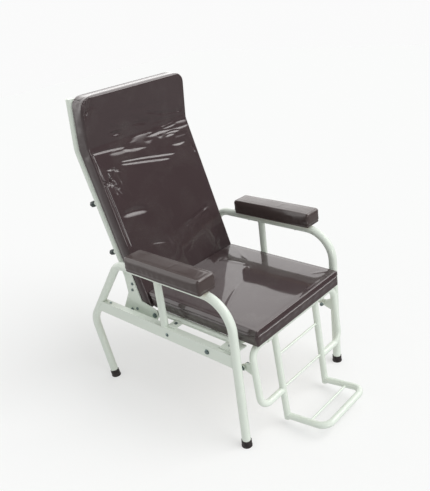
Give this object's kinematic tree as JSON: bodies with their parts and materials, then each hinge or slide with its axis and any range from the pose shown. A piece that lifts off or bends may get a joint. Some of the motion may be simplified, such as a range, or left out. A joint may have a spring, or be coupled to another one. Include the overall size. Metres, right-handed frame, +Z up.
{
  "type": "patient recliner chair",
  "caption": "Tubular steel patient recliner with padded seat, reclining back with bent head part, padded arms and a linked swing-up leg rest with foot loop.",
  "frame": {"origin": "on the floor, under the middle of the chair's bounding box at rest", "axes": "+Z up; the chair faces -Y; +X is the sitter's left"},
  "size_m": [0.694, 1.0479, 1.2002],
  "materials": {
    "powder_coat": "satin off-white powder coat",
    "vinyl": "glossy dark brown vinyl",
    "pad_vinyl": "semi-gloss dark brown vinyl",
    "plywood": "raw plywood",
    "rubber": "matt black rubber",
    "knob_plastic": "dark grey moulded plastic",
    "dark_fastener": "dark zinc plated"
  },
  "bodies": {
    "chair_frame": {"arm_pad_board_left": "plywood", "arm_pad_board_right": "plywood", "arm_pad_left": "pad_vinyl", "arm_pad_right": "pad_vinyl", "arm_post_left": "powder_coat", "arm_post_right": "powder_coat", "back_pivot_bolts": "dark_fastener", "foot_cap_front_left": "rubber", "foot_cap_front_right": "rubber", "foot_cap_rear_left": "rubber", "foot_cap_rear_right": "rubber", "leg_hinge_saddle_left": "powder_coat", "leg_hinge_saddle_right": "powder_coat", "rail_bolts": "dark_fastener", "seat_board": "plywood", "seat_cross_front": "powder_coat", "seat_cross_rear": "powder_coat", "seat_cushion": "vinyl", "seat_front_tube": "powder_coat", "seat_tabs": "powder_coat", "seat_tube_left": "powder_coat", "seat_tube_right": "powder_coat", "side_frame_left": "powder_coat", "side_frame_right": "powder_coat", "side_rail_left": "powder_coat", "side_rail_right": "powder_coat"},
    "backrest": {"back_board": "plywood", "back_cross_head": "powder_coat", "back_cross_lower": "powder_coat", "back_cross_middle": "powder_coat", "back_cross_upper": "powder_coat", "back_cushion": "vinyl", "back_tube_left": "powder_coat", "back_tube_right": "powder_coat", "crank_pins": "dark_fastener", "head_board": "plywood", "hinge_plate_left": "powder_coat", "hinge_plate_right": "powder_coat", "knob_bosses": "powder_coat", "plate_bolts": "dark_fastener"},
    "leg_rest": {"foot_loop": "powder_coat", "leg_hinge_bar": "powder_coat", "leg_inner_tube_left": "powder_coat", "leg_inner_tube_right": "powder_coat", "leg_lug_left": "powder_coat", "leg_lug_right": "powder_coat", "leg_rung_foot": "powder_coat", "leg_rung_lower": "powder_coat", "leg_rung_upper": "powder_coat", "leg_side_tube_left": "powder_coat", "leg_side_tube_right": "powder_coat", "link_pins": "dark_fastener", "link_spacers": "powder_coat"},
    "link_right": {"link_bar_right": "powder_coat"},
    "link_left": {"link_bar_left": "powder_coat"},
    "upper_knob": {"clamp_knob_upper": "knob_plastic"},
    "lower_knob": {"clamp_knob_lower": "knob_plastic"}
  },
  "joints": [
    {"name": "back_recline", "type": "hinge", "parent": "chair_frame", "child": "backrest", "pos_m": [0, 0.148, 0.381], "axis": [-1, 0, 0], "range_deg": [0, 42]},
    {"name": "leg_rest_swing", "type": "hinge", "parent": "chair_frame", "child": "leg_rest", "pos_m": [0, -0.315, 0.3865], "axis": [-1, 0, 0], "range_deg": [0, 42]},
    {"name": "link_right_pivot", "type": "hinge", "parent": "leg_rest", "child": "link_right", "pos_m": [0, -0.273, 0.302], "axis": [-1, 0, 0], "range_deg": [-42, 0]},
    {"name": "link_left_pivot", "type": "hinge", "parent": "leg_rest", "child": "link_left", "pos_m": [0, -0.273, 0.302], "axis": [-1, 0, 0], "range_deg": [-42, 0]},
    {"name": "upper_knob_turn", "type": "hinge", "parent": "backrest", "child": "upper_knob", "pos_m": [-0.245, 0.38581, 0.79815], "axis": [0, 0.9548, -0.2974], "range_deg": [-180, 180]},
    {"name": "lower_knob_turn", "type": "hinge", "parent": "backrest", "child": "lower_knob", "pos_m": [-0.245, 0.32574, 0.60529], "axis": [0, 0.9548, -0.2974], "range_deg": [-180, 180]}
  ],
  "couplings": [
    {"joint": "leg_rest_swing", "follows": "back_recline", "ratio": 1},
    {"joint": "link_right_pivot", "follows": "back_recline", "ratio": -1},
    {"joint": "link_left_pivot", "follows": "back_recline", "ratio": -1}
  ]
}
